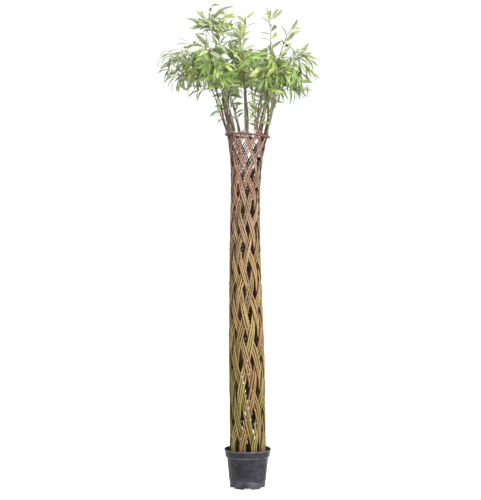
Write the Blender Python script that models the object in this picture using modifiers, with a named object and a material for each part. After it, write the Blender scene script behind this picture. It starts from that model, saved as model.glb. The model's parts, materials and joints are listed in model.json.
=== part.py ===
# Potted braided willow: living willow rods woven into an open column, tied by a
# ring at the top, with leafy shoots above it and a plastic nursery pot below.
# Metres, +Z up, origin at the middle of the pot's flat underside.

import random
from math import atan2, cos, pi, radians, sin, sqrt, tau

import bmesh
import bpy
from mathutils import Matrix, Vector

# Pot and soil
POT_HEIGHT = 0.180
POT_RIM_RADIUS = 0.110
POT_FOOT_RADIUS = 0.083
POT_WALL = 0.0025
POT_FLOOR = 0.010
LIP_HEIGHT = 0.009
LIP_WIDTH = 0.003
LIP_ROUND = 0.0012
COLLAR_TAPER = 0.003
SKIRT_HEIGHT = 0.037
SKIRT_STEP = 0.0065
FOOT_BAND_HEIGHT = 0.036
FOOT_BAND_STEP = 0.0012
NOTCH_COUNT = 6
NOTCH_WIDTH = 0.040
NOTCH_HEIGHT = 0.0075
NOTCH_DEPTH = 0.030
NOTCH_TAPER = 0.6
SOIL_TOP = 0.138
TURN_STEPS = 28
GAP = 0.0003

# Woven column: strands run up both ways round it and cross at numbered levels
STRANDS_EACH_WAY = 9
LEVELS = 15
FIRST_LEVEL = 0.200
LEVEL_RISE = 0.1365
LEVEL_SHRINK = 0.00265
FOOT_RADIUS = 0.0760
WAIST_RADIUS = 0.0630
CROWN_RADIUS = 0.0915
NARROWING_START = 0.45
WAIST_HEIGHT = 1.33
RING_HEIGHT = 1.651
STRAND_TOP = 1.668
FLARE_POWER = 2.8
COLUMN_BOW = 0.0125
COLUMN_FOOT_SHIFT = 0.002
WEAVE_SHIFT = radians(13)
SHIFT_START = 0.50
SHIFT_SPAN = 0.90
HALF_WIDTH_FOOT = 0.27
HALF_WIDTH_TOP = 0.19
CROSSING_HALF_WIDTH = 0.30
STRAND_THICK_FOOT = 0.0090
STRAND_THICK_TOP = 0.0056
THINNING_POWER = 2.2
CROSSING_CLEARANCE = 0.0006
FRONT_GAP_ANGLE = radians(-90)

# Tie ring at the top of the weave
TIE_RADIUS = 0.0030
TIE_CLEARANCE = 0.0032
TIE_TILT = radians(3.5)
TIE_STEPS = 30
TIE_SIDES = 4

# Shoots above the ring
SHOOT_BASE_RADIUS = 0.0042
SHOOT_TIP_RADIUS = 0.0022
SHOOT_POINTS = 6
SHOOT_RISE = 0.35
SHOOT_LEAN = 0.30
SHOOT_APPROACH = 0.30
ARRIVAL_RISE = 0.75
ENTRY_FALL = 0.30
SHOOT_END_GAP = 0.007
SHOOT_STUB = 0.012

# Leaf masses: azimuth in degrees from +X, reach from the pot's middle, height of
# the middle, then half sizes along the reach, across it and upright
LEAF_MASSES = {
    "left": (180, 0.292, 1.965, 0.128, 0.070, 0.125),
    "front_left": (232, 0.270, 1.950, 0.070, 0.100, 0.120),
    "front_right": (298, 0.250, 1.940, 0.065, 0.095, 0.118),
    "right": (2, 0.236, 1.945, 0.090, 0.070, 0.130),
    "back_right": (56, 0.265, 1.960, 0.065, 0.100, 0.120),
    "back_left": (120, 0.275, 1.965, 0.070, 0.105, 0.120),
    "centre": (210, 0.045, 2.010, 0.080, 0.070, 0.115),
    "right_centre": (42, 0.118, 2.010, 0.055, 0.060, 0.085),
    "top_left": (176, 0.172, 2.187, 0.105, 0.060, 0.086),
    "top_front": (258, 0.150, 2.115, 0.050, 0.068, 0.072),
    "top_back": (108, 0.145, 2.130, 0.055, 0.070, 0.072),
    "top_right": (345, 0.120, 2.176, 0.045, 0.045, 0.060),
    "tip_right": (8, 0.212, 2.143, 0.030, 0.032, 0.052),
}
MASS_SIDES = 12
MASS_RINGS = 8
MASS_UNEVENNESS = 0.17
MASS_WAVES = 5
WAVE_LENGTHS = (3.0, 6.5)
WAVE_STEEPNESS = 0.6
MASS_SEED = 41

MATERIALS = {
    "pot_plastic": ((0.030, 0.031, 0.036), 0.55),
    "soil": ((0.040, 0.026, 0.017), 0.95),
    "willow_bark": ((0.300, 0.235, 0.085), 0.60),
    "young_bark": ((0.270, 0.110, 0.075), 0.55),
    "leaves": ((0.170, 0.330, 0.060), 0.60),
}


# Scene and materials

def clear_scene():
    for item in list(bpy.data.objects):
        bpy.data.objects.remove(item, do_unlink=True)


def make_collection(name):
    group = bpy.data.collections.new(name)
    bpy.context.scene.collection.children.link(group)
    return group


def make_material(name):
    colour, roughness = MATERIALS[name]
    material = bpy.data.materials.new(name)
    material.use_nodes = True
    shader = material.node_tree.nodes["Principled BSDF"]
    shader.inputs["Base Color"].default_value = (*colour, 1.0)
    shader.inputs["Roughness"].default_value = roughness
    shader.inputs["Metallic"].default_value = 0.0
    return material


def add_object(name, data, group, material=None, smooth_angle=radians(35)):
    item = bpy.data.objects.new(name, data)
    group.objects.link(item)
    if material is not None:
        data.materials.append(material)
    if isinstance(data, bpy.types.Mesh):
        data.shade_smooth()
        data.set_sharp_from_angle(angle=smooth_angle)
    return item


def mesh_from_bmesh(name, shape):
    bmesh.ops.recalc_face_normals(shape, faces=shape.faces[:])
    mesh = bpy.data.meshes.new(name)
    shape.to_mesh(mesh)
    shape.free()
    return mesh


# Pot and soil

def turned_piece(name, profile, group, material):
    """A profile of (radius, height) points turned round the upright axis."""
    mesh = bpy.data.meshes.new(name)
    points = [(radius, 0.0, height) for radius, height in profile]
    edges = [(i, i + 1) for i in range(len(points) - 1)]
    mesh.from_pydata(points, edges, [])
    item = add_object(name, mesh, group, material)
    screw = item.modifiers.new("turn", "SCREW")
    screw.axis = "Z"
    screw.angle = tau
    screw.steps = TURN_STEPS
    screw.render_steps = TURN_STEPS
    screw.use_merge_vertices = True
    screw.merge_threshold = 0.00001
    screw.use_smooth_shade = True
    return item


def wall_radius(height):
    """Outer radius of the tapered wall below the skirt."""
    top_radius = POT_RIM_RADIUS - LIP_WIDTH - SKIRT_STEP - COLLAR_TAPER
    share = height / (POT_HEIGHT - SKIRT_HEIGHT)
    return POT_FOOT_RADIUS + (top_radius - POT_FOOT_RADIUS) * share


def pot_profile():
    skirt_bottom = POT_HEIGHT - SKIRT_HEIGHT
    skirt_radius = wall_radius(skirt_bottom) + SKIRT_STEP
    collar_radius = POT_RIM_RADIUS - LIP_WIDTH
    lip_bottom = POT_HEIGHT - LIP_HEIGHT
    return [
        (0.0, POT_FLOOR),
        (wall_radius(POT_FLOOR) - POT_WALL, POT_FLOOR),
        (wall_radius(skirt_bottom) - POT_WALL, skirt_bottom),
        (skirt_radius - POT_WALL, skirt_bottom + POT_WALL),
        (collar_radius - POT_WALL, POT_HEIGHT - LIP_ROUND),
        (collar_radius - POT_WALL + LIP_ROUND, POT_HEIGHT),
        (POT_RIM_RADIUS - LIP_ROUND, POT_HEIGHT),
        (POT_RIM_RADIUS, POT_HEIGHT - LIP_ROUND),
        (POT_RIM_RADIUS, lip_bottom),
        (collar_radius, lip_bottom),
        (skirt_radius, skirt_bottom),
        (wall_radius(skirt_bottom), skirt_bottom),
        (wall_radius(FOOT_BAND_HEIGHT), FOOT_BAND_HEIGHT),
        (wall_radius(FOOT_BAND_HEIGHT) - FOOT_BAND_STEP, FOOT_BAND_HEIGHT),
        (POT_FOOT_RADIUS - FOOT_BAND_STEP, 0.0),
        (0.0, 0.0),
    ]


def notch_cutter(index, group):
    """A block that lifts the wall's lower edge between two feet."""
    angle = FRONT_GAP_ANGLE + tau * index / NOTCH_COUNT
    reach = POT_FOOT_RADIUS - NOTCH_DEPTH
    shape = bmesh.new()
    bmesh.ops.create_cube(shape, size=1.0)
    size = Vector((3 * NOTCH_DEPTH, NOTCH_WIDTH, 2 * NOTCH_HEIGHT))
    bmesh.ops.scale(shape, vec=size, verts=shape.verts)
    upper = [v for v in shape.verts if v.co.z > 0]
    bmesh.ops.scale(shape, vec=(1.0, NOTCH_TAPER, 1.0), verts=upper)
    bmesh.ops.translate(shape, vec=(reach + 1.5 * NOTCH_DEPTH, 0.0, 0.0), verts=shape.verts)
    bmesh.ops.rotate(shape, matrix=Matrix.Rotation(angle, 3, "Z"), verts=shape.verts)
    cutter = add_object(f"notch_cutter_{index + 1}", mesh_from_bmesh("notch", shape), group)
    cutter.hide_render = True
    cutter.display_type = "WIRE"
    return cutter


def build_pot(parts, cutters, material):
    pot = turned_piece("nursery_pot", pot_profile(), parts, material)
    for index in range(NOTCH_COUNT):
        cut = pot.modifiers.new(f"notch_{index + 1}", "BOOLEAN")
        cut.operation = "DIFFERENCE"
        cut.solver = "EXACT"
        cut.object = notch_cutter(index, cutters)


def build_soil(parts, material):
    """Compost that fills the pot to below the skirt."""
    bottom = POT_FLOOR + GAP
    side_gap = POT_WALL + GAP
    profile = [
        (0.0, SOIL_TOP),
        (wall_radius(SOIL_TOP) - side_gap, SOIL_TOP),
        (wall_radius(bottom) - side_gap, bottom),
        (0.0, bottom),
    ]
    turned_piece("potting_soil", profile, parts, material)


# Woven column

def level_height(level):
    return FIRST_LEVEL + LEVEL_RISE * level - LEVEL_SHRINK * level ** 2


def height_level(height):
    """The crossing level, with its fraction, at a height above the first one."""
    rest = LEVEL_RISE ** 2 - 4 * LEVEL_SHRINK * (height - FIRST_LEVEL)
    return (LEVEL_RISE - sqrt(rest)) / (2 * LEVEL_SHRINK)


def column_radius(height):
    share = (height - NARROWING_START) / (WAIST_HEIGHT - NARROWING_START)
    share = min(max(share, 0.0), 1.0)
    radius = FOOT_RADIUS + (WAIST_RADIUS - FOOT_RADIUS) * share * share * (3 - 2 * share)
    if height > WAIST_HEIGHT:
        flare = (height - WAIST_HEIGHT) / (RING_HEIGHT - WAIST_HEIGHT)
        radius += (CROWN_RADIUS - WAIST_RADIUS) * flare ** FLARE_POWER
    return radius


def column_middle(height):
    """Sideways place of the column's middle, which bows a little to -X."""
    share = min(height / RING_HEIGHT, 1.0)
    return COLUMN_FOOT_SHIFT * (1 - share) - COLUMN_BOW * sin(pi * share * share)


def strand_thickness(height):
    thinning = (height / STRAND_TOP) ** THINNING_POWER
    return STRAND_THICK_FOOT + (STRAND_THICK_TOP - STRAND_THICK_FOOT) * thinning


def strand_half_width(level):
    """Half the width of a strand, in strand spacings."""
    return HALF_WIDTH_FOOT + (HALF_WIDTH_TOP - HALF_WIDTH_FOOT) * level / LEVELS


def column_point(angle, height, offset):
    radius = column_radius(height) + offset
    return Vector((column_middle(height) + radius * cos(angle), radius * sin(angle), height))


def group_angle(index):
    return FRONT_GAP_ANGLE + pi / STRANDS_EACH_WAY + tau * index / STRANDS_EACH_WAY


def strand_angle(index, way, level, across):
    """Angle of a strand's line: way is 1 or -1, across is in strand spacings.

    Higher up the weave is drawn towards -X, so the strands lie closer there.
    """
    turn = pi / STRANDS_EACH_WAY * max(level, 0.0) + tau / STRANDS_EACH_WAY * across
    angle = group_angle(index) + way * turn
    share = min(max((level_height(level) - SHIFT_START) / SHIFT_SPAN, 0.0), 1.0)
    return angle + WEAVE_SHIFT * share * sin(angle)


def strand_side(way, level):
    """1 where the strand passes outside the others, -1 where it passes inside."""
    return way if level % 2 == 0 else -way


def strand_corners(index, way, level, height, across):
    """Inner and outer point of one edge of a strand."""
    thickness = strand_thickness(height)
    middle = strand_side(way, level) * (thickness / 2 + CROSSING_CLEARANCE)
    angle = strand_angle(index, way, height_level(height), across)
    return [column_point(angle, height, middle + side * thickness / 2) for side in (-1, 1)]


def strand_sections(index, way):
    """Sections along the strand, each cut along the edge of a strand it crosses."""
    foot = SOIL_TOP + GAP
    edges = (strand_half_width(0), -strand_half_width(0))
    yield [strand_corners(index, way, 0, foot, across) for across in edges]
    for level in range(LEVELS + 1):
        for side in (-CROSSING_HALF_WIDTH, CROSSING_HALF_WIDTH):
            if 0 < level + side < LEVELS:
                half = strand_half_width(level + side)
                edges = (half, -half)
                heights = [level_height(level + side - across) for across in edges]
                yield [strand_corners(index, way, level, height, across)
                       for height, across in zip(heights, edges)]
    edges = (HALF_WIDTH_TOP, -HALF_WIDTH_TOP)
    yield [strand_corners(index, way, LEVELS, STRAND_TOP, across) for across in edges]


def build_strand(index, way, parts, material):
    shape = bmesh.new()
    rings = []
    for low_edge, high_edge in strand_sections(index, way):
        corners = (low_edge[0], low_edge[1], high_edge[1], high_edge[0])
        rings.append([shape.verts.new(corner) for corner in corners])
    for lower, upper in zip(rings, rings[1:]):
        for i in range(4):
            j = (i + 1) % 4
            # Broad faces fold along their upright diagonal, so crossing strands
            # stay parallel to each other.
            if i == 3:
                faces = ((lower[i], lower[j], upper[i]), (lower[j], upper[j], upper[i]))
            else:
                faces = ((lower[i], lower[j], upper[j]), (lower[i], upper[j], upper[i]))
            for face in faces:
                shape.faces.new(face)
    shape.faces.new(rings[0])
    shape.faces.new(rings[-1])
    side = "right" if way > 0 else "left"
    name = f"willow_strand_{side}_{index + 1:02d}"
    add_object(name, mesh_from_bmesh(name, shape), parts, material)


# Tie ring

def build_tie_ring(name, side, parts, material):
    """One round of the tie: side is 1 outside the strands, -1 inside them."""
    strand_reach = strand_thickness(RING_HEIGHT) + CROSSING_CLEARANCE
    radius = column_radius(RING_HEIGHT) + side * (strand_reach + TIE_RADIUS + TIE_CLEARANCE)
    bpy.ops.mesh.primitive_torus_add(
        major_segments=TIE_STEPS, minor_segments=TIE_SIDES,
        major_radius=radius, minor_radius=TIE_RADIUS)
    ring = bpy.context.object
    ring.name = ring.data.name = name
    ring.location = (column_middle(RING_HEIGHT), 0.0, RING_HEIGHT)
    ring.rotation_euler = (0.0, TIE_TILT, 0.0)
    ring.data.materials.append(material)
    ring.data.shade_smooth()
    for group in list(ring.users_collection):
        group.objects.unlink(ring)
    parts.objects.link(ring)


# Leaf masses

def mass_middle(name):
    azimuth, reach, height = LEAF_MASSES[name][:3]
    angle = radians(azimuth)
    return Vector((reach * cos(angle), reach * sin(angle), height))


def mass_waves(name):
    """The seeded waves that make each mass uneven in its own way."""
    draw = random.Random(MASS_SEED + list(LEAF_MASSES).index(name))
    for _ in range(MASS_WAVES):
        upright = draw.uniform(-WAVE_STEEPNESS, WAVE_STEEPNESS)
        way = Vector((draw.uniform(-1, 1), draw.uniform(-1, 1), upright))
        yield way.normalized() * draw.uniform(*WAVE_LENGTHS), draw.uniform(0.0, tau)


def mass_reach(name, way):
    """Distance from the middle of a mass to its surface in a unit direction."""
    azimuth = radians(LEAF_MASSES[name][0])
    along, across, upright = LEAF_MASSES[name][3:]
    local = Matrix.Rotation(-azimuth, 3, "Z") @ way
    reach = 1 / sqrt((local.x / along) ** 2 + (local.y / across) ** 2 + (local.z / upright) ** 2)
    swell = sum(sin(wave.dot(way) + phase) for wave, phase in mass_waves(name))
    return reach * (1 - MASS_UNEVENNESS + MASS_UNEVENNESS * swell / sqrt(MASS_WAVES))


def build_mass(name, parts, material):
    shape = bmesh.new()
    bmesh.ops.create_uvsphere(shape, u_segments=MASS_SIDES, v_segments=MASS_RINGS, radius=1.0)
    for vert in shape.verts:
        way = vert.co.normalized()
        vert.co = way * mass_reach(name, way)
    full_name = f"leaf_mass_{name}"
    mass = add_object(full_name, mesh_from_bmesh(full_name, shape), parts, material, pi)
    mass.location = mass_middle(name)


# Shoots

def strand_top(index, way):
    """Middle of the flat upper end of a strand."""
    level = height_level(STRAND_TOP)
    angle = strand_angle(index, way, level, 0.0)
    offset = strand_side(way, LEVELS) * (strand_thickness(STRAND_TOP) / 2 + CROSSING_CLEARANCE)
    return column_point(angle, STRAND_TOP + GAP, offset)


def nearest_free_top(target, tops):
    """Takes the strand end that faces the target best out of the list."""
    aim = atan2(target.y, target.x)

    def turn_to(point):
        turn = atan2(point.y, point.x) - aim
        return abs((turn + pi) % tau - pi)

    best = min(tops, key=turn_to)
    tops.remove(best)
    return best


def shoot_line(foot, name):
    """Points along a shoot that rises steeply from the ring and then leans to its mass."""
    yield foot
    up = Vector((0.0, 0.0, 1.0))
    start = foot + up * SHOOT_STUB
    middle = mass_middle(name)
    way = start - middle
    way.z *= ENTRY_FALL
    way.normalize()
    end = middle + way * (mass_reach(name, way) + SHOOT_END_GAP)
    length = (end - start).length
    lean_out = Vector((start.x, start.y, 0.0)).normalized() * SHOOT_LEAN
    first = start + (up + lean_out) * SHOOT_RISE * length
    arrival = (up * ARRIVAL_RISE - way / 2).normalized()
    last = end - arrival * SHOOT_APPROACH * length
    for step in range(SHOOT_POINTS):
        t = step / (SHOOT_POINTS - 1)
        s = 1 - t
        yield (start * s ** 3 + first * 3 * s * s * t + last * 3 * s * t * t + end * t ** 3)


def build_shoot(name, start, parts, material):
    curve = bpy.data.curves.new(f"shoot_{name}", "CURVE")
    curve.dimensions = "3D"
    curve.bevel_depth = 1.0
    curve.bevel_resolution = 1
    curve.use_fill_caps = True
    points = list(shoot_line(start, name))
    spline = curve.splines.new("POLY")
    spline.points.add(len(points) - 1)
    for step, (point, place) in enumerate(zip(spline.points, points)):
        point.co = (*place, 1.0)
        share = step / (len(points) - 1)
        point.radius = SHOOT_BASE_RADIUS + (SHOOT_TIP_RADIUS - SHOOT_BASE_RADIUS) * share
    curve.materials.append(material)
    add_object(f"shoot_{name}", curve, parts)


def build_plant(parts, materials):
    tops = []
    for way in (1, -1):
        for index in range(STRANDS_EACH_WAY):
            build_strand(index, way, parts, materials["willow_bark"])
            tops.append(strand_top(index, way))
    build_tie_ring("tie_ring_outer", 1, parts, materials["young_bark"])
    build_tie_ring("tie_ring_inner", -1, parts, materials["young_bark"])
    for name in LEAF_MASSES:
        build_mass(name, parts, materials["leaves"])
        build_shoot(name, nearest_free_top(mass_middle(name), tops), parts, materials["young_bark"])


def main():
    clear_scene()
    parts = make_collection("potted_braided_willow")
    cutters = make_collection("cutters")
    materials = {name: make_material(name) for name in MATERIALS}
    build_pot(parts, cutters, materials["pot_plastic"])
    build_soil(parts, materials["soil"])
    build_plant(parts, materials)


main()
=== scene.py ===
import json
import random
from math import cos, pi, radians, sin, sqrt, tau

import bmesh
import bpy
import numpy as np
from mathutils import Matrix, Vector, noise
from mathutils.bvhtree import BVHTree

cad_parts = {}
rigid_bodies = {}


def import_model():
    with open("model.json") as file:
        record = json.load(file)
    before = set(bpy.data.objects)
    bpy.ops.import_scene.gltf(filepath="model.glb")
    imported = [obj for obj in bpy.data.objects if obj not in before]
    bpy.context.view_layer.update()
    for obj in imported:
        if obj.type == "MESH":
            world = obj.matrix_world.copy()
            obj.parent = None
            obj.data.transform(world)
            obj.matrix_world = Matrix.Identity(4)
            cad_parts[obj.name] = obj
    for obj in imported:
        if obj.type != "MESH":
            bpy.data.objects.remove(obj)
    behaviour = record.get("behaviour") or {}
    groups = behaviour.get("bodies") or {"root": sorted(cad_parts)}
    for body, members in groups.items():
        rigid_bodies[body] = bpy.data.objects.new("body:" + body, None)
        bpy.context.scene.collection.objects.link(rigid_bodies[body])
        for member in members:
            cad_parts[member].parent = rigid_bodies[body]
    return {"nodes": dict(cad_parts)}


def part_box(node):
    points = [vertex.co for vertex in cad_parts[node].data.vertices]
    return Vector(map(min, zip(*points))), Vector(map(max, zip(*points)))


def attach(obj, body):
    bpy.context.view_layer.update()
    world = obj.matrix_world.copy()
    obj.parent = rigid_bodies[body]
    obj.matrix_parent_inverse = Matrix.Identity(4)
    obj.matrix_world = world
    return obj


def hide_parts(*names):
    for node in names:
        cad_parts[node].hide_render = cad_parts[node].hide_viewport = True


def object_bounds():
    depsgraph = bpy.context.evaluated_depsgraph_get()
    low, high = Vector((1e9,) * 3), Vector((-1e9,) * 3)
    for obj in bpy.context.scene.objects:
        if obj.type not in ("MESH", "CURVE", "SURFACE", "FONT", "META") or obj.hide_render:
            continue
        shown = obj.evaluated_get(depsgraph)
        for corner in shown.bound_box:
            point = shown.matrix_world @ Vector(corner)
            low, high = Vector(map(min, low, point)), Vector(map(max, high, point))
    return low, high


# Looks of a potted braided willow: round rods woven into an open column, a twisted
# osier tie, leafy shoots above it and a black nursery pot filled with compost.

for leftover in list(bpy.data.objects):
    bpy.data.objects.remove(leftover, do_unlink=True)
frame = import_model()
cadLow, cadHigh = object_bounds()
up = Vector((0.0, 0.0, 1.0))


# Small helpers for node trees

def setInputs(tree, node, inputs):
    for name, value in inputs.items():
        socket = node.inputs[name]
        if isinstance(value, bpy.types.NodeSocket):
            tree.links.new(value, socket)
        else:
            plainColour = socket.type == "RGBA" and len(value) == 3
            socket.default_value = (*value, 1.0) if plainColour else value


def addNode(tree, kind, inputs=None, **settings):
    node = tree.nodes.new(kind)
    for name, value in settings.items():
        setattr(node, name, value)
    setInputs(tree, node, inputs or {})
    return node


def math(tree, operation, a, b=0.0, clamp=False):
    return addNode(tree, "ShaderNodeMath", {0: a, 1: b}, operation=operation, use_clamp=clamp).outputs[0]


def times(tree, a, b):
    return math(tree, "MULTIPLY", a, b)


def rangeMap(tree, value, low, high, newLow=0.0, newHigh=1.0):
    inputs = {"Value": value, "From Min": low, "From Max": high, "To Min": newLow, "To Max": newHigh}
    return addNode(tree, "ShaderNodeMapRange", inputs, clamp=True).outputs["Result"]


def mixColour(tree, factor, a, b, blend="MIX"):
    node = addNode(tree, "ShaderNodeMix", {0: factor, 6: a, 7: b}, data_type="RGBA", blend_type=blend)
    return node.outputs[2]


def colourRamp(tree, factor, stops):
    node = addNode(tree, "ShaderNodeValToRGB", {"Fac": factor})
    ramp = node.color_ramp
    while len(ramp.elements) < len(stops):
        ramp.elements.new(0.5)
    for element, (place, colour) in zip(ramp.elements, stops):
        element.position = place
        element.color = (*colour, 1.0)
    return node.outputs["Color"]


def stretched(tree, vector, scale):
    return addNode(tree, "ShaderNodeMapping", {"Vector": vector, "Scale": scale}).outputs["Vector"]


def noiseValue(tree, vector, scale, detail=3.0, roughness=0.55):
    inputs = {"Vector": vector, "Scale": scale, "Detail": detail, "Roughness": roughness}
    return addNode(tree, "ShaderNodeTexNoise", inputs).outputs["Fac"]


def fewCells(tree, vector, scale, size, rarity):
    # Small round spots in a share of the cells of a pattern
    cells = addNode(tree, "ShaderNodeTexVoronoi", {"Vector": vector, "Scale": scale}).outputs
    chosen = addNode(tree, "ShaderNodeSeparateColor", {0: cells["Color"]}).outputs[0]
    return times(tree, rangeMap(tree, cells["Distance"], *size, 1.0, 0.0),
                 math(tree, "GREATER_THAN", chosen, rarity))


def objectSpace(tree):
    return addNode(tree, "ShaderNodeTexCoord").outputs["Object"]


def makeGroup(name, inputs, outputs):
    tree = bpy.data.node_groups.new(name, "ShaderNodeTree")
    for label, kind, value in inputs:
        socket = tree.interface.new_socket(name=label, in_out="INPUT", socket_type=kind)
        if value is not None:
            socket.default_value = value
    for label in outputs:
        tree.interface.new_socket(name=label, in_out="OUTPUT", socket_type="NodeSocketFloat")
    return tree, tree.nodes.new("NodeGroupInput").outputs, tree.nodes.new("NodeGroupOutput").inputs


def useGroup(tree, group, inputs):
    node = tree.nodes.new("ShaderNodeGroup")
    node.node_tree = group
    setInputs(tree, node, inputs)
    return node.outputs


def makeMaterial(name, colour, roughness, specular=0.5):
    material = bpy.data.materials.new(name)
    material.use_nodes = True
    shader = material.node_tree.nodes["Principled BSDF"]
    shader.inputs["Base Color"].default_value = (*colour, 1.0)
    shader.inputs["Roughness"].default_value = roughness
    shader.inputs["Specular IOR Level"].default_value = specular
    material.diffuse_color = (*colour, 1.0)
    return material, material.node_tree, shader


def feed(tree, shader, colour=None, roughness=None, height=None, distance=0.0004, strength=0.6):
    if colour is not None:
        tree.links.new(colour, shader.inputs["Base Color"])
    if roughness is not None:
        tree.links.new(roughness, shader.inputs["Roughness"])
    if height is not None:
        inputs = {"Height": height, "Strength": strength, "Distance": distance}
        bump = addNode(tree, "ShaderNodeBump", inputs)
        tree.links.new(bump.outputs["Normal"], shader.inputs["Normal"])


# Effects shared by several materials

def barkGrainGroup():
    # Long fibres, small breathing pores and blotches of bark, along a rod's own space
    tree, given, result = makeGroup(
        "barkGrain",
        [("Space", "NodeSocketVector", None), ("Fibre Scale", "NodeSocketFloat", 420.0),
         ("Pore Scale", "NodeSocketFloat", 190.0)],
        ["Fibre", "Pore", "Blotch", "Height", "Painted Shade"])
    fibre = noiseValue(tree, stretched(tree, given["Space"], (1.0, 1.0, 0.05)), given["Fibre Scale"], 4.0)
    blotch = noiseValue(tree, stretched(tree, given["Space"], (1.0, 1.0, 0.22)), 70.0, 3.0)
    poreSpace = stretched(tree, given["Space"], (1.0, 1.0, 0.42))
    pore = fewCells(tree, poreSpace, given["Pore Scale"], (0.10, 0.26), 0.62)
    height = math(tree, "ADD", times(tree, fibre, 0.7), times(tree, pore, 0.5))
    # Painted shade, with a little dirt, where a rod lies against its neighbours, and painted shade on the
    # side that faces into the column
    flat = stretched(tree, given["Space"], (1.0, 1.0, 0.0))
    unit = addNode(tree, "ShaderNodeVectorMath", {0: flat}, operation="NORMALIZE")
    facing = addNode(tree, "ShaderNodeSeparateXYZ", {0: unit.outputs[0]}).outputs
    beside = rangeMap(tree, math(tree, "ABSOLUTE", facing["Y"]), 0.62, 0.99)
    paintedShade = math(tree, "MAXIMUM", beside, rangeMap(tree, facing["X"], 0.20, -0.50))
    for label, value in (("Fibre", fibre), ("Pore", pore), ("Blotch", blotch), ("Height", height),
                         ("Painted Shade", paintedShade)):
        tree.links.new(value, result[label])
    return tree


def dustFilmGroup():
    # Dust that gathers in patches and thin smears, thicker towards the ground
    tree, given, result = makeGroup(
        "dustFilm",
        [("Space", "NodeSocketVector", None), ("Patch Scale", "NodeSocketFloat", 14.0),
         ("Reach", "NodeSocketFloat", 0.1)],
        ["Dust", "Smear"])
    patch = noiseValue(tree, given["Space"], given["Patch Scale"], 5.0, 0.65)
    smear = noiseValue(tree, stretched(tree, given["Space"], (0.35, 0.35, 2.6)), 60.0, 4.0)
    heightHere = addNode(tree, "ShaderNodeSeparateXYZ", {0: given["Space"]}).outputs["Z"]
    low = math(tree, "SUBTRACT", 1.0, math(tree, "DIVIDE", heightHere, given["Reach"]), clamp=True)
    dust = rangeMap(tree, math(tree, "ADD", patch, times(tree, low, 0.30)), 0.46, 0.80)
    tree.links.new(dust, result["Dust"])
    tree.links.new(rangeMap(tree, smear, 0.52, 0.72), result["Smear"])
    return tree


barkGrain = barkGrainGroup()
dustFilm = dustFilmGroup()


# Materials

rodColours = {                       # along the height: old wood below, young wood above
    "olive": [(0.0, (0.212, 0.178, 0.033)), (0.50, (0.268, 0.192, 0.054)), (1.0, (0.255, 0.145, 0.125))],
    "straw": [(0.0, (0.370, 0.312, 0.094)), (0.50, (0.480, 0.352, 0.149)), (1.0, (0.460, 0.290, 0.250))],
    "russet": [(0.0, (0.320, 0.165, 0.050)), (0.50, (0.400, 0.195, 0.095)), (1.0, (0.290, 0.120, 0.108))],
    "fibre": (0.55, (0.62, 0.52, 0.33)), "blotch": (0.52, 0.45, (0.20, 0.13, 0.06)),
    "pore": (0.55, (0.56, 0.43, 0.26)), "dust": (0.30, 0.25, 0.17), "dustiness": 0.18,
    # the next line begins with the colour and strength of the painted shade between rods and on their inward
    # side
    "paintedShade": (0.200, 0.125, 0.060), "paintedShadeDepth": 0.85, "fullHeight": 1.68, "roughness": (0.42, 0.66),
}


def barkInputs(tree, fibreScale, poreScale):
    space = addNode(tree, "ShaderNodeAttribute", attribute_name="barkSpace").outputs["Vector"]
    tone = addNode(tree, "ShaderNodeAttribute", attribute_name="rodTone").outputs["Fac"]
    inputs = {"Space": space, "Fibre Scale": fibreScale, "Pore Scale": poreScale}
    return tone, useGroup(tree, barkGrain, inputs)


def overlayBark(tree, grain, colour, fibre, blotch, pore):
    # Light fibres, dark blotches and pale pores over a bark's own colour, each an amount and a colour
    amount = rangeMap(tree, grain["Fibre"], 0.35, 0.70, 0.0, fibre[0])
    colour = mixColour(tree, amount, colour, fibre[1], "SOFT_LIGHT")
    amount = rangeMap(tree, grain["Blotch"], blotch[0], 0.75, 0.0, blotch[1])
    colour = mixColour(tree, amount, colour, blotch[2], "MULTIPLY")
    return mixColour(tree, times(tree, grain["Pore"], pore[0]), colour, pore[1])


def rodBarkMaterial():
    material, tree, shader = makeMaterial("willowRodBark", rodColours["olive"][1][1], 0.55)
    tone, grain = barkInputs(tree, 420.0, 170.0)
    place = addNode(tree, "ShaderNodeSeparateXYZ", {0: objectSpace(tree)}).outputs["Z"]
    share = math(tree, "DIVIDE", place, rodColours["fullHeight"])
    share = math(tree, "ADD", share, rangeMap(tree, grain["Blotch"], 0.3, 0.7, -0.12, 0.12), clamp=True)
    olive, straw, russet = (colourRamp(tree, share, rodColours[hue]) for hue in ("olive", "straw", "russet"))
    colour = mixColour(tree, rangeMap(tree, tone, 0.0, 0.5), olive, straw)
    colour = mixColour(tree, rangeMap(tree, tone, 0.62, 1.0), colour, russet)
    colour = overlayBark(tree, grain, colour, rodColours["fibre"], rodColours["blotch"], rodColours["pore"])
    dust = useGroup(tree, dustFilm, {"Space": objectSpace(tree), "Patch Scale": 40.0, "Reach": 0.30})
    colour = mixColour(tree, times(tree, dust["Dust"], rodColours["dustiness"]), colour, rodColours["dust"])
    # painted shade between the rods and on their inward side, multiplied into the bark colour
    colour = mixColour(tree, times(tree, grain["Painted Shade"], rodColours["paintedShadeDepth"]), colour,
                       rodColours["paintedShade"], "MULTIPLY")
    roughness = rangeMap(tree, grain["Fibre"], 0.3, 0.7, *rodColours["roughness"])
    feed(tree, shader, colour, roughness, grain["Height"], 0.0005, 0.55)
    return material


youngBark = {
    "red": (0.230, 0.110, 0.088), "brown": (0.165, 0.128, 0.095), "green": (0.250, 0.270, 0.120),
    "fibre": (0.5, (0.60, 0.50, 0.40)), "blotch": (0.50, 0.5, (0.30, 0.20, 0.13)),
    "pore": (0.6, (0.60, 0.47, 0.33)), "roughness": (0.36, 0.55),
}


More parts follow.
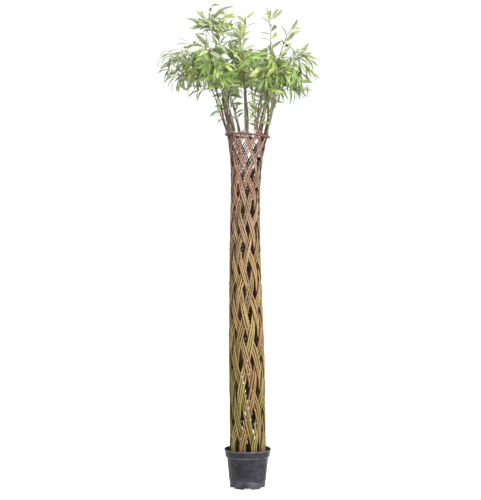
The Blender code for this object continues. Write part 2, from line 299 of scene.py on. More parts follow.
def youngBarkMaterial():
    material, tree, shader = makeMaterial("youngShootBark", youngBark["brown"], 0.45)
    tone, grain = barkInputs(tree, 600.0, 260.0)
    stops = zip((0.0, 0.5, 1.0), (youngBark["green"], youngBark["brown"], youngBark["red"]))
    colour = colourRamp(tree, tone, list(stops))
    colour = overlayBark(tree, grain, colour, youngBark["fibre"], youngBark["blotch"], youngBark["pore"])
    roughness = rangeMap(tree, grain["Fibre"], 0.3, 0.7, *youngBark["roughness"])
    feed(tree, shader, colour, roughness, grain["Height"], 0.0003, 0.5)
    return material


def cutWoodMaterial():
    # The pale end grain of a clean cut, finely speckled lighter and darker
    material, tree, shader = makeMaterial("freshCutWood", (0.62, 0.50, 0.30), 0.75)
    grit = noiseValue(tree, objectSpace(tree), 900.0, 3.0)
    colour = colourRamp(tree, grit, [(0.3, (0.50, 0.37, 0.20)), (0.7, (0.70, 0.59, 0.38))])
    feed(tree, shader, colour, None, grit, 0.0002, 0.4)
    return material


plastic = {
    # the scuff colour and the scuffs and rubbed amounts paint real wear together with a painted highlight on
    # the pot's edges
    "body": (0.0055, 0.0055, 0.0100), "dust": (0.042, 0.042, 0.060), "scuffAndHighlight": (0.34, 0.34, 0.40),
    "crumbs": (0.090, 0.062, 0.042), "dustiness": 0.42, "smears": 0.16, "scuffAndHighlightAmount": 0.75, "crumbAmount": 0.7,
    "rubbedAndHighlight": (0.06, 0.36), "roughness": (0.27, 0.50), "specular": 0.36,
}


def potPlasticMaterial():
    material, tree, shader = makeMaterial("nurseryPotPlastic", plastic["body"], 0.45, plastic["specular"])
    space = objectSpace(tree)
    film = useGroup(tree, dustFilm, {"Space": space, "Patch Scale": 13.0, "Reach": 0.085})
    dusted = times(tree, film["Dust"], plastic["dustiness"])
    colour = mixColour(tree, dusted, plastic["body"], plastic["dust"])
    colour = mixColour(tree, times(tree, film["Smear"], plastic["smears"]), colour, plastic["dust"])
    # Scuffs and rubbing along the lip, the skirt's edge and the foot band: real wear with a painted
    # highlight
    scuffAndHighlightNoise = noiseValue(tree, stretched(tree, space, (0.6, 0.6, 9.0)), 55.0, 5.0, 0.7)
    wornAndHighlit = addNode(tree, "ShaderNodeAttribute", attribute_name="wearAndHighlight").outputs["Fac"]
    streak = noiseValue(tree, stretched(tree, space, (1.0, 1.0, 2.5)), 17.0, 3.0)
    scuffAndHighlight = times(tree, rangeMap(tree, scuffAndHighlightNoise, 0.48, 0.66), wornAndHighlit)
    scuffAndHighlight = times(tree, scuffAndHighlight, rangeMap(tree, streak, 0.42, 0.62, 0.15, 1.0))
    colour = mixColour(tree, times(tree, scuffAndHighlight, plastic["scuffAndHighlightAmount"]), colour, plastic["scuffAndHighlight"])
    rubbedAndHighlight = times(tree, wornAndHighlit, rangeMap(tree, streak, 0.40, 0.62, *plastic["rubbedAndHighlight"]))
    colour = mixColour(tree, rubbedAndHighlight, colour, plastic["scuffAndHighlight"])
    crumb = times(tree, fewCells(tree, space, 150.0, (0.10, 0.24), 0.86), plastic["crumbAmount"])
    colour = mixColour(tree, crumb, colour, plastic["crumbs"])
    dull = math(tree, "ADD", film["Dust"], film["Smear"])
    roughness = rangeMap(tree, dull, 0.0, 1.4, *plastic["roughness"])
    fine = noiseValue(tree, space, 1400.0, 2.0)
    height = math(tree, "ADD", times(tree, fine, 0.25), noiseValue(tree, space, 38.0, 2.0))
    feed(tree, shader, colour, roughness, height, 0.0006, 0.45)
    return material


def compostMaterial():
    material, tree, shader = makeMaterial("darkCompost", (0.030, 0.020, 0.013), 0.95, 0.3)
    space = objectSpace(tree)
    crumb = noiseValue(tree, space, 210.0, 6.0, 0.7)
    clump = noiseValue(tree, space, 38.0, 3.0)
    colour = colourRamp(tree, crumb, [(0.30, (0.010, 0.007, 0.005)), (0.62, (0.045, 0.029, 0.018)),
                                      (0.80, (0.120, 0.080, 0.048))])
    colour = mixColour(tree, rangeMap(tree, clump, 0.4, 0.7, 0.0, 0.6), colour, (0.020, 0.013, 0.009))
    roughness = rangeMap(tree, clump, 0.35, 0.65, 0.75, 1.0)
    feed(tree, shader, colour, roughness, crumb, 0.004, 0.8)
    return material


def chipMaterial():
    material, tree, shader = makeMaterial("barkChips", (0.110, 0.062, 0.034), 0.85, 0.35)
    space = objectSpace(tree)
    streak = noiseValue(tree, stretched(tree, space, (1.0, 0.3, 1.0)), 260.0, 5.0)
    colour = colourRamp(tree, streak, [(0.3, (0.040, 0.022, 0.013)), (0.7, (0.190, 0.115, 0.065))])
    feed(tree, shader, colour, rangeMap(tree, streak, 0.3, 0.7, 0.7, 0.95), streak, 0.0015, 0.7)
    return material


leafTints = {                        # upper side, then the paler underside
    "fresh": ((0.375, 0.480, 0.128), (0.500, 0.572, 0.325)),
    "meadow": ((0.285, 0.425, 0.095), (0.450, 0.545, 0.300)),
    "lime": ((0.469, 0.525, 0.177), (0.567, 0.603, 0.366)),
    "deep": ((0.180, 0.300, 0.065), (0.350, 0.455, 0.240)),
    "silver": ((0.469, 0.536, 0.313), (0.589, 0.624, 0.484)),
}
leafSides = {"mottle": 0.16, "roughness": (0.38, 0.58), "underRoughness": (0.55, 0.75)}


def leafMottleGroup():
    # Soft changes of shade across a leaf and the fine raised net of its veins
    tree, given, result = makeGroup("leafMottle", [("Space", "NodeSocketVector", None)], ["Shade", "Veins"])
    tree.links.new(noiseValue(tree, given["Space"], 55.0, 3.0), result["Shade"])
    tree.links.new(noiseValue(tree, given["Space"], 420.0, 2.0), result["Veins"])
    return tree


def leafMaterial(name, colour, roughness, group):
    material, tree, shader = makeMaterial(name, colour, sum(roughness) / 2)
    mottle = useGroup(tree, group, {"Space": objectSpace(tree)})
    dark = tuple(c * (1 - leafSides["mottle"]) for c in colour)
    light = tuple(min(c * (1 + leafSides["mottle"]), 1.0) for c in colour)
    shade = colourRamp(tree, mottle["Shade"], [(0.33, dark), (0.67, light)])
    gloss = rangeMap(tree, mottle["Shade"], 0.35, 0.65, *roughness)
    feed(tree, shader, shade, gloss, mottle["Veins"], 0.0003, 0.25)
    return material


def leafMaterials():
    group = leafMottleGroup()
    made = []
    for tint, (top, under) in leafTints.items():
        made.append(leafMaterial(f"leafTop_{tint}", top, leafSides["roughness"], group))
        made.append(leafMaterial(f"leafUnder_{tint}", under, leafSides["underRoughness"], group))
    made.append(leafMaterial("leafRib", (0.520, 0.560, 0.240), (0.45, 0.60), group))
    return made


rodBark = rodBarkMaterial()
shootBark = youngBarkMaterial()
cutWood = cutWoodMaterial()
potPlastic = potPlasticMaterial()
compost = compostMaterial()
barkChips = chipMaterial()
leafSkins = leafMaterials()
print("materials made")


# Meshes gathered from many small parts

def newStore():
    return {"points": [], "faces": [], "slots": [], "space": [], "tone": [], "count": 0}


def gather(store, points, faces, slots, space=None, tone=0.0):
    start = store["count"]
    store["points"].append(points)
    store["faces"].extend([start + i for i in face] for face in faces)
    store["slots"].extend(slots)
    store["space"].append(np.zeros_like(points) if space is None else space)
    store["tone"].append(np.full(len(points), tone))
    store["count"] += len(points)


def placeNew(name, data):
    item = bpy.data.objects.new(name, data)
    bpy.context.scene.collection.objects.link(item)
    return item


def shapeObject(shape, name, material, smooth=True):
    mesh = bpy.data.meshes.new(name)
    shape.to_mesh(mesh)
    shape.free()
    mesh.materials.append(material)
    if smooth:
        mesh.shade_smooth()
    return placeNew(name, mesh)


def storeObject(store, name, materials, sharpAngle=radians(50)):
    mesh = bpy.data.meshes.new(name)
    points = np.concatenate(store["points"])
    mesh.from_pydata(points.tolist(), [], store["faces"])
    mesh.polygons.foreach_set("material_index", store["slots"])
    for label, kind, key, values in (("barkSpace", "FLOAT_VECTOR", "vector", store["space"]),
                                     ("rodTone", "FLOAT", "value", store["tone"])):
        attribute = mesh.attributes.new(label, kind, "POINT")
        attribute.data.foreach_set(key, np.concatenate(values).astype(np.float32).ravel())
    for material in materials:
        mesh.materials.append(material)
    mesh.shade_smooth()
    mesh.set_sharp_from_angle(angle=sharpAngle)
    return placeNew(name, mesh)


def rideOn(item, slotName, *nodes):
    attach(item, "root")
    if nodes:
        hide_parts(*nodes)


def normalised(vectors):
    return vectors / np.maximum(np.linalg.norm(vectors, axis=-1, keepdims=True), 1e-12)


def lengthAlong(points):
    # Distance from the first point to each one, along the line
    return np.concatenate([[0.0], np.cumsum(np.linalg.norm(np.diff(points, axis=0), axis=1))])


def alongLine(places, length, line):
    return np.stack([np.interp(places, length, line[:, i]) for i in range(3)], axis=-1)


def smoothStep(share):
    return share * share * (3 - 2 * share)


def anyWay(draw, reach=1.0):
    return Vector([draw.uniform(-reach, reach) for _ in range(3)])


def tubeFrame(points, outward=None):
    # Two directions across the tube at each point, turning with it as little as they can
    tangents = normalised(np.gradient(points, axis=0))
    if outward is None:
        first = Vector(tangents[0])
        across = first.orthogonal().normalized()
        sides = []
        for tangent in tangents:
            across = (across - Vector(tangent) * across.dot(Vector(tangent))).normalized()
            sides.append(tuple(across))
        side = np.array(sides)
    else:
        side = normalised(outward - tangents * np.sum(outward * tangents, axis=1, keepdims=True))
    return side, np.cross(tangents, side)


def addTube(store, points, radii, tone, sides, outward=None, relief=None, capSlot=1, shift=0.0):
    # A round rod along the points: relief multiplies the radius at each (point, side)
    count = len(points)
    side, other = tubeFrame(points, outward)
    turn = np.arange(sides) * tau / sides
    reach = np.repeat(radii[:, None], sides, axis=1)
    if relief is not None:
        reach = reach * relief
    ring = (points[:, None, :] + reach[..., None] * (np.cos(turn)[None, :, None] * side[:, None, :]
                                                     + np.sin(turn)[None, :, None] * other[:, None, :]))
    length = lengthAlong(points) + shift
    space = np.stack([reach * np.cos(turn), reach * np.sin(turn),
                      np.repeat(length[:, None], sides, axis=1)], axis=-1)
    lower = np.arange(count - 1)[:, None] * sides + np.arange(sides)[None, :]
    nextSide = np.arange(count - 1)[:, None] * sides + (np.arange(sides)[None, :] + 1) % sides
    faces = np.stack([lower, nextSide, nextSide + sides, lower + sides], axis=-1).reshape(-1, 4).tolist()
    slots = [0] * len(faces)
    faces.append(list(range(sides))[::-1])
    faces.append(list(range((count - 1) * sides, count * sides)))
    slots += [capSlot, capSlot]
    gather(store, ring.reshape(-1, 3), faces, slots, space.reshape(-1, 3), tone)


def nodeRelief(length, sides, nodes, swell, bud, draw, span=0.0042):
    # Swollen joints along a rod, each with a flat bud that sits on one side
    relief = np.ones((len(length), sides))
    turn = np.arange(sides) * tau / sides
    for spot in nodes:
        face = draw.uniform(0.0, tau)
        near = np.exp(-((length - spot) / span) ** 2)
        above = np.exp(-((length - spot - span * 0.8) / span) ** 2)
        facing = np.exp(-((((turn - face) + pi) % tau - pi) / 0.55) ** 2)
        relief += swell * near[:, None] + bud * above[:, None] * facing[None, :]
    return relief


def spots(start, end, gap, draw):
    found = []
    here = start + draw.uniform(*gap)
    while here < end:
        found.append(here)
        here += draw.uniform(*gap)
    return found


def stations(start, end, step, extra, span=0.0042):
    # Places along a rod: even steps, and closer ones on both sides of each joint
    even = np.linspace(start, end, max(int((end - start) / step), 2) + 1)
    close = [spot + shift * span for spot in extra for shift in (-1.0, 0.0, 0.9, 1.8)]
    close = [spot for spot in close if start < spot < end]
    merged = np.sort(np.concatenate([even, close]))
    keep = np.concatenate([[True], np.diff(merged) > 0.0012])
    merged = merged[keep]
    merged[-1] = end
    return merged


# The woven column

weave = {
    "strands": 9, "levels": 15,                 # strands each way round, and crossing levels
    "firstLevel": 0.200, "levelRise": 0.1365, "levelShrink": 0.00265,
    "footRadius": 0.0760, "waistRadius": 0.0630, "crownRadius": 0.0915,
    "narrowingStart": 0.45, "waistHeight": 1.33, "flarePower": 2.8,
    "bow": 0.0125, "footShift": 0.002, "frontGap": radians(-90),
    "shift": radians(13), "shiftStart": 0.50, "shiftSpan": 0.90,   # the weave is drawn to the left higher up
    "halfWidth": (0.27, 0.19), "widthFall": 4.0,  # of a strand at its foot and top, in strand spacings
}
rods = {
    "places": (-1, 0, 1),                       # side by side in a strand
    "footRadius": 0.0045, "topRadius": 0.0026, "thinning": 3.4, "size": (0.91, 1.03),
    "swell": 0.04, "swellPitch": 40.0,          # slow changes of thickness along a rod
    "clearance": 0.0004, "flat": 0.28,          # how long a rod stays on its side at a crossing
    "step": 0.012, "sides": 9, "nodeGap": (0.042, 0.072), "nodeSwell": 0.09, "budSwell": 0.42,
    "sideWander": 0.026, "strandWander": 0.042, "looserTop": 1.3, "intoSoil": 0.014,
    "cutAbove": (0.002, 0.013), "settle": 0.12, "seed": 23,
    "russetShare": 0.24, "russet": (0.78, 1.0),
    "tones": (0.0, 0.1, 0.25, 0.45, 0.6, 0.8), "toneSpread": 0.08,
}
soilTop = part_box("potting_soil")[1].z
ringLow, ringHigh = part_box("tie_ring_outer")
ringHeight = (ringLow.z + ringHigh.z) / 2
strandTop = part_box("willow_strand_right_01")[1].z
shootSides = 6                                  # of a CAD shoot


def levelAt(height):
    rest = weave["levelRise"] ** 2 - 4 * weave["levelShrink"] * (height - weave["firstLevel"])
    return (weave["levelRise"] - np.sqrt(np.maximum(rest, 0.0))) / (2 * weave["levelShrink"])


def columnRadius(height):
    share = (height - weave["narrowingStart"]) / (weave["waistHeight"] - weave["narrowingStart"])
    share = np.clip(share, 0.0, 1.0)
    radius = weave["footRadius"] + (weave["waistRadius"] - weave["footRadius"]) * smoothStep(share)
    flare = np.maximum(height - weave["waistHeight"], 0.0) / (ringHeight - weave["waistHeight"])
    return radius + (weave["crownRadius"] - weave["waistRadius"]) * flare ** weave["flarePower"]


def columnMiddle(height):
    share = np.minimum(height / ringHeight, 1.0)
    return weave["footShift"] * (1 - share) - weave["bow"] * np.sin(pi * share * share)


def groupAngle(index):
    return weave["frontGap"] + pi / weave["strands"] + tau * index / weave["strands"]


def rodRadius(height):
    thinning = np.power(height / strandTop, rods["thinning"])
    return rods["footRadius"] + (rods["topRadius"] - rods["footRadius"]) * thinning


def strandSide(way, line):
    # 1 outside the crossing strands, -1 inside them, with a smooth change between crossings
    line = np.clip(line, 0.0, weave["levels"])
    level = np.floor(line)
    share = np.clip((line - level - rods["flat"]) / (1 - 2 * rods["flat"]), 0.0, 1.0)
    return way * np.where(level % 2 == 0, 1.0, -1.0) * (1 - 2 * smoothStep(share))


def wander(height, draw, amount):
    total = np.zeros_like(height)
    for wave in (0.62, 0.27):
        turn = tau * height / (wave * draw.uniform(0.8, 1.25)) + draw.uniform(0, tau)
        total += amount * wave / 0.62 * np.sin(turn)
    return total


def rodPath(index, way, place, heights, drift):
    level = levelAt(heights)
    foot, top = weave["halfWidth"]
    edge = foot + (top - foot) * (np.clip(level, 0.0, None) / weave["levels"]) ** weave["widthFall"]
    across = place * (edge - rodRadius(heights) * weave["strands"] / (tau * columnRadius(heights)))
    angle = groupAngle(index) + way * pi / weave["strands"] * np.maximum(level, 0.0)
    shift = weave["shift"] * np.clip((heights - weave["shiftStart"]) / weave["shiftSpan"], 0.0, 1.0)
    angle = angle + shift * np.sin(angle) + way * tau / weave["strands"] * (across + drift)
    offset = strandSide(way, level + across) * (rodRadius(heights) + rods["clearance"])
    outward = np.stack([np.cos(angle), np.sin(angle), np.zeros_like(angle)], axis=-1)
    reach = (columnRadius(heights) + offset)[:, None]
    middle = np.stack([columnMiddle(heights), np.zeros_like(heights), heights], axis=-1)
    return middle + outward * reach, outward


def strandTopPoint(index, way):
    points, _ = rodPath(index, way, 0.0, np.array([strandTop]), 0.0)
    return Vector(points[0])


def shootFoot(name):
    return centreLine(frame["nodes"][name])[0]


def centreLine(node):
    # The middle of each ring of a CAD shoot, from its foot up
    found = sorted({tuple(round(c, 6) for c in v.co) for v in node.data.vertices}, key=lambda p: p[2])
    rings = [found[i:i + shootSides] for i in range(0, len(found), shootSides)]
    return [sum((Vector(p) for p in ring), Vector()) / len(ring) for ring in rings]


massNames = sorted(name[len("leaf_mass_"):] for name in frame["nodes"] if name.startswith("leaf_mass_"))
strandKeys = [(index, way) for way in (1, -1) for index in range(weave["strands"])]
strandOfShoot = {}
for massName in massNames:
    foot = shootFoot(f"shoot_{massName}")
    strandOfShoot[massName] = min(strandKeys, key=lambda key: (strandTopPoint(*key) - foot).length)


def rodTones(draw):
    # Most rods are olive or straw coloured, and some strands are russet throughout
    if draw.random() < rods["russetShare"]:
        return [draw.uniform(*rods["russet"]) for _ in rods["places"]]
    return [draw.choice(rods["tones"]) + draw.uniform(0.0, rods["toneSpread"]) for _ in rods["places"]]


def buildStrand(index, way):
    draw = random.Random(rods["seed"] + 100 * index + (way > 0) * 7)
    store = newStore()
    tones = rodTones(draw)
    grows = (index, way) in strandOfShoot.values()
    for place, tone in zip(rods["places"], tones):
        top = strandTop if grows else ringHeight + draw.uniform(*rods["cutAbove"])
        joints = spots(soilTop, top, rods["nodeGap"], draw)
        heights = stations(soilTop - rods["intoSoil"], top, rods["step"], joints)
        shared = random.Random(index * 2 + (way > 0))
        drift = wander(heights, shared, rods["strandWander"]) + wander(heights, draw, rods["sideWander"])
        drift = drift * (1 + rods["looserTop"] * (heights / strandTop) ** 4)
        if grows:
            drift = drift * np.clip((top - heights) / rods["settle"], 0.0, 1.0)
        points, outward = rodPath(index, way, place, heights, drift)
        size = draw.uniform(*rods["size"])
        swell = rods["swell"] * np.sin(heights * rods["swellPitch"] + draw.uniform(0, tau))
        radii = rodRadius(heights) * size * (1 + swell)
        relief = nodeRelief(heights, rods["sides"], joints, rods["nodeSwell"], rods["budSwell"], draw)
        addTube(store, points, radii, tone, rods["sides"], outward, relief, shift=draw.uniform(0.0, 5.0))
    side = "right" if way > 0 else "left"
    item = storeObject(store, f"willow_rods_{side}_{index + 1:02d}", [rodBark, cutWood])
    rideOn(item, "rod_bark", f"willow_strand_{side}_{index + 1:02d}")


for key in strandKeys:
    buildStrand(*key)
print("column woven:", len(strandKeys), "strands")


# The tie: a twisted pair of osiers outside the strands and another inside them

tie = {
    "ringThickness": 0.0030, "radius": 0.0022, "ply": 0.0020, "twists": (17, 14), "unevenTwist": 0.5,
    "steps": 420, "sides": 9, "tilt": radians(3.5), "seam": radians(92), "gapAtSeam": 0.008, "wave": 0.0009,
    "nodeGap": (0.030, 0.055), "nodeSwell": 0.07, "budSwell": 0.18, "tones": (0.86, 1.0), "seed": 5,
}


def buildTie():
    store = newStore()
    draw = random.Random(tie["seed"])
    for name, twists in zip(("tie_ring_outer", "tie_ring_inner"), tie["twists"]):
        low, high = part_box(name)
        ringRadius = (high.y - low.y) / 2 - tie["ringThickness"]
        angle = np.linspace(tie["seam"], tie["seam"] + tau - tie["gapAtSeam"], tie["steps"])
        for ply in (0, 1):
            uneven = tie["unevenTwist"] * np.sin(3 * angle + draw.uniform(0, tau))
            phase = twists * (angle - tie["seam"]) + ply * pi + uneven
            wave = tie["wave"] * np.sin(5 * angle + draw.uniform(0, tau))
            reach = ringRadius + tie["ply"] * np.cos(phase)
            x = reach * np.cos(angle)
            z = ringHeight + tie["ply"] * np.sin(phase) + wave - x * sin(tie["tilt"])
            points = np.stack([columnMiddle(ringHeight) + x, reach * np.sin(angle), z], axis=-1)
            length = (angle - tie["seam"]) * ringRadius
            joints = spots(length[0], length[-1], tie["nodeGap"], draw)
            relief = nodeRelief(length, tie["sides"], joints, tie["nodeSwell"], tie["budSwell"], draw)
            radii = tie["radius"] * (1.05 - 0.18 * length / length[-1])
            addTube(store, points, radii, draw.uniform(*tie["tones"]), tie["sides"], relief=relief,
                    shift=draw.uniform(0, 5))
    item = storeObject(store, "osier_tie", [shootBark, cutWood])
    rideOn(item, "young_bark", "tie_ring_outer", "tie_ring_inner")


buildTie()
print("tie twined")


# Pot and compost

pot = {
    "columns": 144, "wall": 0.0025, "floor": 0.010, "lipHeight": 0.009, "lipWidth": 0.003,
    "skirtHeight": 0.037, "skirtStep": 0.0065, "collarTaper": 0.003,
    "bandHeight": 0.036, "bandStep": 0.0012,
    "notches": 6, "notchHalfAngle": radians(14.2), "notchHeight": 0.0075, "notchDepth": 0.030,
    "footRadius": 0.083, "rollRadius": 0.0022,
}
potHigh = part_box("nursery_pot")[1]
potHeight, rimRadius = potHigh.z, potHigh.x


def wallRadius(height):
    top = rimRadius - pot["lipWidth"] - pot["skirtStep"] - pot["collarTaper"]
    return pot["footRadius"] + (top - pot["footRadius"]) * height / (potHeight - pot["skirtHeight"])


def arcPoints(centre, radius, start, end, steps):
    return [(centre[0] + radius * cos(start + (end - start) * i / steps),
             centre[1] + radius * sin(start + (end - start) * i / steps)) for i in range(steps + 1)]


def potProfile():
    # (radius, height, wear and painted highlight): up the inside, over the rolled lip and down the outside
    skirtFoot = potHeight - pot["skirtHeight"]
    collar = rimRadius - pot["lipWidth"]
    skirt = wallRadius(skirtFoot) + pot["skirtStep"]
    lipFoot = potHeight - pot["lipHeight"]
    inside = [(0.0, pot["floor"], 0), (wallRadius(pot["floor"]) - pot["wall"] - 0.002, pot["floor"], 0),
              (wallRadius(pot["floor"]) - pot["wall"], pot["floor"] + 0.002, 0),
              (wallRadius(0.07) - pot["wall"], 0.07, 0),
              (wallRadius(skirtFoot) - pot["wall"], skirtFoot, 0),
              (skirt - pot["wall"], skirtFoot + pot["wall"], 0.1),
              (collar - pot["wall"], potHeight - 0.004, 0.3)]
    rollMiddle = (rimRadius - pot["rollRadius"], potHeight - pot["rollRadius"])
    roll = [(r, z, 1.0) for r, z in arcPoints(rollMiddle, pot["rollRadius"], pi * 0.80, 0.0, 9)]
    lip = [(rimRadius, lipFoot + 0.0012, 0.5), (rimRadius - 0.0006, lipFoot + 0.0003, 0.4),
           (collar + 0.0010, lipFoot, 0.1), (collar, lipFoot - 0.0010, 0.0)]
    skirtWall = [(collar + (skirt - collar) * s, lipFoot + (skirtFoot - lipFoot) * s, 0.15)
                 for s in (0.25, 0.5, 0.72, 0.82)]
    skirtLip = [(skirt + 0.0002, skirtFoot + 0.0040, 1.0), (skirt + 0.0006, skirtFoot + 0.0022, 1.0),
                (skirt + 0.0004, skirtFoot + 0.0010, 1.0), (skirt - 0.0002, skirtFoot + 0.0003, 0.7),
                (skirt - 0.0012, skirtFoot, 0.2), (wallRadius(skirtFoot) + 0.0008, skirtFoot + 0.0004, 0.0),
                (wallRadius(skirtFoot), skirtFoot - 0.0008, 0.0)]
    levels = np.linspace(skirtFoot - 0.006, pot["bandHeight"] + 0.0016, 9)
    wallPart = [(wallRadius(z), z, 0.2) for z in levels]
    band = [(wallRadius(pot["bandHeight"]) + 0.0001, pot["bandHeight"] + 0.0004, 1.0),
            (wallRadius(pot["bandHeight"]) - pot["bandStep"] * 0.8, pot["bandHeight"] - 0.0004, 1.0)]
    low = [(wallRadius(z) - pot["bandStep"], z, wearAndHighlight)
           for z, wearAndHighlight in ((0.0325, 0.9), (0.027, 0.7), (0.021, 0.55), (0.015, 0.5), (0.0100, 0.5))]
    return inside + roll + lip + skirtWall + skirtLip + wallPart + band + low


def notchLift(angle):
    # How far the wall's lower edge is raised here, between two feet
    pitch = tau / pot["notches"]
    away = abs((angle - weave["frontGap"] + pitch / 2) % pitch - pitch / 2)
    share = min(max((pot["notchHalfAngle"] - away) / (pot["notchHalfAngle"] * 0.42), 0.0), 1.0)
    return pot["notchHeight"] * smoothStep(share)


def buildPot():
    shape = bmesh.new()
    # each point's share of wear and painted highlight
    wearAndHighlightLayer = shape.verts.layers.float.new("wearAndHighlight")
    profile = potProfile()
    heelRadius = pot["footRadius"] - pot["notchDepth"]   # the foot's underside starts here, on the floor
    footOut = pot["footRadius"] - pot["bandStep"]
    columns = []
    for column in range(pot["columns"]):
        angle = tau * column / pot["columns"] + weave["frontGap"]
        lift = notchLift(angle)
        line = profile[1:] + [(footOut, lift + 0.0008, 0.8), (footOut - 0.0008, lift, 0.6),
                              (heelRadius, lift, 0.1), (heelRadius - 0.0002, 0.0, 0.3)]
        verts = []
        for radius, height, wearAndHighlight in line:
            vert = shape.verts.new((radius * cos(angle), radius * sin(angle), height))
            vert[wearAndHighlightLayer] = wearAndHighlight
            verts.append(vert)
        columns.append(verts)
    top = shape.verts.new((0.0, 0.0, profile[0][1]))
    bottom = shape.verts.new((0.0, 0.0, 0.0))
    for here, after in zip(columns, columns[1:] + columns[:1]):
        for i in range(len(here) - 1):
            corners = (here[i], after[i], after[i + 1], here[i + 1])
            if (here[i].co - here[i + 1].co).length > 1e-6:
                shape.faces.new(corners)
        shape.faces.new((top, after[0], here[0]))
        shape.faces.new((bottom, here[-1], after[-1]))
    bmesh.ops.remove_doubles(shape, verts=shape.verts[:], dist=0.00001)
    bmesh.ops.recalc_face_normals(shape, faces=shape.faces[:])
    item = shapeObject(shape, "black_nursery_pot", potPlastic)
    item.data.set_sharp_from_angle(angle=radians(48))
    rideOn(item, "pot", "nursery_pot")


soil = {"columns": 84, "rings": 22, "relief": 0.0035, "chips": 150, "chipSize": (0.0025, 0.0075), "seed": 3}


def buildCompost():
    # A plug of compost with an uneven crumbly top, scattered with chips of bark
    low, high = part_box("potting_soil")
    topRadius = high.x
    shape = bmesh.new()
    rings = []
    for ring in range(1, soil["rings"] + 1):
        radius = topRadius * ring / soil["rings"]
        verts = []
        for column in range(soil["columns"]):
            angle = tau * column / soil["columns"]
            x, y = radius * cos(angle), radius * sin(angle)
            bump = noise.fractal(Vector((x, y, 0.3)) * 60, 0.8, 2.1, 4) * soil["relief"]
            edge = 1.0 if ring < soil["rings"] else 0.0
            verts.append(shape.verts.new((x, y, high.z - 0.0015 + bump * edge)))
        rings.append(verts)
    floorRadius = topRadius - (wallRadius(high.z) - wallRadius(low.z))
    rings.append([shape.verts.new((floorRadius * cos(tau * c / soil["columns"]),
                                   floorRadius * sin(tau * c / soil["columns"]), low.z))
                  for c in range(soil["columns"])])
    for inner, outer in zip(rings, rings[1:]):
        for c in range(soil["columns"]):
            d = (c + 1) % soil["columns"]
            shape.faces.new((inner[c], outer[c], outer[d], inner[d]))
    shape.faces.new(rings[0])
    shape.faces.new(rings[-1][::-1])
    bmesh.ops.recalc_face_normals(shape, faces=shape.faces[:])
    rideOn(shapeObject(shape, "compost_plug", compost), "soil", "potting_soil")

    draw = random.Random(soil["seed"])
    chips = bmesh.new()
    for _ in range(soil["chips"]):
        reach, angle = topRadius * 0.95 * sqrt(draw.random()), draw.uniform(0, tau)
        size = draw.uniform(*soil["chipSize"])
        grown = bmesh.ops.create_icosphere(chips, subdivisions=1, radius=1.0)["verts"]
        for vert in grown:
            vert.co *= draw.uniform(0.75, 1.1)
        turn = Matrix.Rotation(draw.uniform(0, tau), 4, "Z")
        turn = turn @ Matrix.Rotation(draw.uniform(-0.4, 0.4), 4, "X")
        scale = Matrix.Diagonal((size, size * draw.uniform(0.35, 0.8), size * draw.uniform(0.2, 0.4), 1.0))
        spot = Matrix.Translation((reach * cos(angle), reach * sin(angle), high.z + size * 0.1))
        bmesh.ops.transform(chips, matrix=spot @ turn @ scale, verts=grown)
    rideOn(shapeObject(chips, "compost_chips", barkChips, smooth=False), "soil")


buildPot()
buildCompost()
print("pot and compost made")


# Shoots, twigs and leaves

shoots = {
    "footRadius": 0.0041, "tipRadius": 0.0012, "step": 0.010, "sides": 8,
    "nodeGap": (0.022, 0.038), "nodeSwell": 0.14, "budSwell": 0.45,
    "nodeSpan": 0.0026, "taper": 0.85, "thinner": 0.85,   # and the second and third stems are thinner
    "spread": 0.028, "sway": 0.0035, "seed": 51,
    "gather": 1.3, "open": 1.5,                  # a bundle stays together low down, and opens higher up
    "tones": (0.15, 0.30, 0.42, 0.55, 0.68, 0.85),
    "sprigs": 3, "sprigFrom": (0.05, 0.50), "sprigLength": (0.022, 0.060), "sprigSize": 0.66,
    "sprigDroop": 0.25,
}
twigs = {
    "footRadius": 0.0014, "tipRadius": 0.0006, "step": 0.012, "sides": 6,
    "tones": (0.05, 0.2, 0.4, 0.75),
}
leaves = {
    "length": (0.060, 0.098), "slimness": (0.225, 0.300), "petiole": 0.005, "thickness": 0.00030,
    "perCubicMetre": 70000, "gap": (0.013, 0.023), "turn": radians(144),
    "spare": 0.030, "inward": 0.060,             # how far a leaf may reach out of its mass
    "boxSpare": 0.014,                           # and sideways out of the whole plant's box
    "curve": (0.20, 0.95), "fold": (0.12, 0.45), "twist": 0.55, "uneven": 0.55,
    "splay": (34, 66), "splayFall": 0.45,        # degrees from the twig, less towards its tip
    "droopSpread": (0.4, 1.4), "turnSpread": 0.5,
    "tries": 4, "nextTry": radians(95), "shorter": 0.12, "lifted": 0.2,   # until a leaf has room
}
